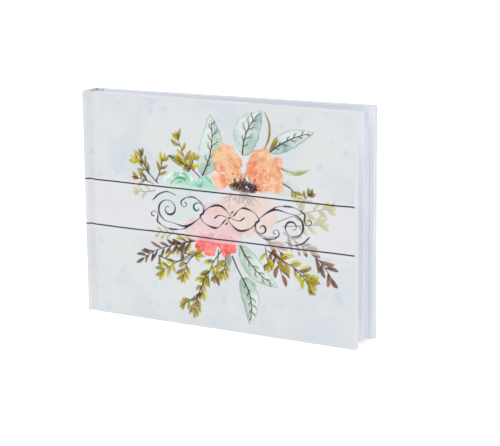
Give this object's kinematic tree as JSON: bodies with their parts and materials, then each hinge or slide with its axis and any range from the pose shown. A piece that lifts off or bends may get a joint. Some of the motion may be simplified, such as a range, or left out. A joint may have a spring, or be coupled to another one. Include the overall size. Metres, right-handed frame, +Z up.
{
  "type": "wedding guest book",
  "caption": "Landscape case-bound guest book with printed hard covers and sewn blank leaves, standing on its tail edges; both covers and the leaves open on creased joints.",
  "frame": {"origin": "middle of the bottom of the whole book's bounding box, on the surface the book stands on", "axes": "+Z up from tail to head, +X from the spine to the fore-edge, and the front cover faces -Y"},
  "size_m": [0.216, 0.034, 0.1587],
  "materials": {
    "printed_covering": "matt laminated print, pale blue-grey with watercolour flowers",
    "greyboard": "raw grey binder's board",
    "endpaper": "smooth uncoated white paper",
    "page_paper": "smooth uncoated white paper",
    "gauze": "open plain-weave starched cotton",
    "sewing_thread": "twisted linen thread",
    "binding_glue": "dried binding adhesive",
    "lining_paper": "brown kraft paper",
    "band_cloth": "woven white cotton over a cord"
  },
  "bodies": {
    "spine_and_block": {"spine_board": "greyboard", "spine_wrap": "printed_covering", "front_flyleaf_glued_edge": "endpaper", "signature_1_sewn_fold": "page_paper", "signature_2_sewn_fold": "page_paper", "signature_3_sewn_fold": "page_paper", "signature_4": "page_paper", "signature_5_sewn_fold": "page_paper", "signature_6_sewn_fold": "page_paper", "signature_7_sewn_fold": "page_paper", "back_flyleaf_glued_edge": "endpaper", "sewing_thread": "sewing_thread", "spine_adhesive": "binding_glue", "spine_mull": "gauze", "spine_lining": "lining_paper", "headband": "band_cloth", "tailband": "band_cloth"},
    "front_hinge": {"front_joint_strip": "printed_covering", "front_endpaper_hinge": "endpaper"},
    "front_cover": {"front_board": "greyboard", "front_cover_wrap": "printed_covering", "front_mull_flange": "gauze", "front_pastedown": "endpaper"},
    "front_flyleaf": {"front_flyleaf": "endpaper"},
    "signature_1": {"signature_1_leaves": "page_paper"},
    "signature_2": {"signature_2_leaves": "page_paper"},
    "signature_3": {"signature_3_leaves": "page_paper"},
    "back_hinge": {"back_joint_strip": "printed_covering", "back_endpaper_hinge": "endpaper"},
    "back_cover": {"back_board": "greyboard", "back_cover_wrap": "printed_covering", "back_mull_flange": "gauze", "back_pastedown": "endpaper"},
    "back_flyleaf": {"back_flyleaf": "endpaper"},
    "signature_5": {"signature_5_leaves": "page_paper"},
    "signature_6": {"signature_6_leaves": "page_paper"},
    "signature_7": {"signature_7_leaves": "page_paper"}
  },
  "joints": [
    {"name": "front_spine_crease", "type": "hinge", "parent": "spine_and_block", "child": "front_hinge", "pos_m": [-0.10767, -0.00421, 0], "axis": [0, 0, -1], "range_deg": [0, 90]},
    {"name": "front_board_crease", "type": "hinge", "parent": "front_hinge", "child": "front_cover", "pos_m": [-0.09837, -0.00443, 0], "axis": [0, 0, -1], "range_deg": [-3.5, 86.5]},
    {"name": "front_flyleaf_turn", "type": "hinge", "parent": "spine_and_block", "child": "front_flyleaf", "pos_m": [-0.10257, 0.00032, 0], "axis": [0, 0, -1], "range_deg": [0, 84.6]},
    {"name": "signature_1_turn", "type": "hinge", "parent": "spine_and_block", "child": "signature_1", "pos_m": [-0.10217, 0.00062, 0], "axis": [0, 0, -1], "range_deg": [0, 64.8]},
    {"name": "signature_2_turn", "type": "hinge", "parent": "spine_and_block", "child": "signature_2", "pos_m": [-0.10095, 0.00174, 0], "axis": [0, 0, -1], "range_deg": [0, 43.2]},
    {"name": "signature_3_turn", "type": "hinge", "parent": "spine_and_block", "child": "signature_3", "pos_m": [-0.09973, 0.00286, 0], "axis": [0, 0, -1], "range_deg": [0, 21.6]},
    {"name": "back_spine_crease", "type": "hinge", "parent": "spine_and_block", "child": "back_hinge", "pos_m": [-0.10767, 0.01319, 0], "axis": [0, 0, 1], "range_deg": [0, 90]},
    {"name": "back_board_crease", "type": "hinge", "parent": "back_hinge", "child": "back_cover", "pos_m": [-0.09837, 0.01341, 0], "axis": [0, 0, 1], "range_deg": [-1, 89]},
    {"name": "back_flyleaf_turn", "type": "hinge", "parent": "spine_and_block", "child": "back_flyleaf", "pos_m": [-0.10257, 0.00866, 0], "axis": [0, 0, 1], "range_deg": [0, 84.6]},
    {"name": "signature_7_turn", "type": "hinge", "parent": "spine_and_block", "child": "signature_7", "pos_m": [-0.10217, 0.00836, 0], "axis": [0, 0, 1], "range_deg": [0, 64.8]},
    {"name": "signature_6_turn", "type": "hinge", "parent": "spine_and_block", "child": "signature_6", "pos_m": [-0.10095, 0.00724, 0], "axis": [0, 0, 1], "range_deg": [0, 43.2]},
    {"name": "signature_5_turn", "type": "hinge", "parent": "spine_and_block", "child": "signature_5", "pos_m": [-0.09973, 0.00612, 0], "axis": [0, 0, 1], "range_deg": [0, 21.6]}
  ],
  "couplings": [
    {"joint": "front_flyleaf_turn", "follows": "front_spine_crease", "ratio": 0.94},
    {"joint": "signature_1_turn", "follows": "front_spine_crease", "ratio": 0.72},
    {"joint": "signature_2_turn", "follows": "front_spine_crease", "ratio": 0.48},
    {"joint": "signature_3_turn", "follows": "front_spine_crease", "ratio": 0.24},
    {"joint": "back_flyleaf_turn", "follows": "back_spine_crease", "ratio": 0.94},
    {"joint": "signature_7_turn", "follows": "back_spine_crease", "ratio": 0.72},
    {"joint": "signature_6_turn", "follows": "back_spine_crease", "ratio": 0.48},
    {"joint": "signature_5_turn", "follows": "back_spine_crease", "ratio": 0.24}
  ]
}
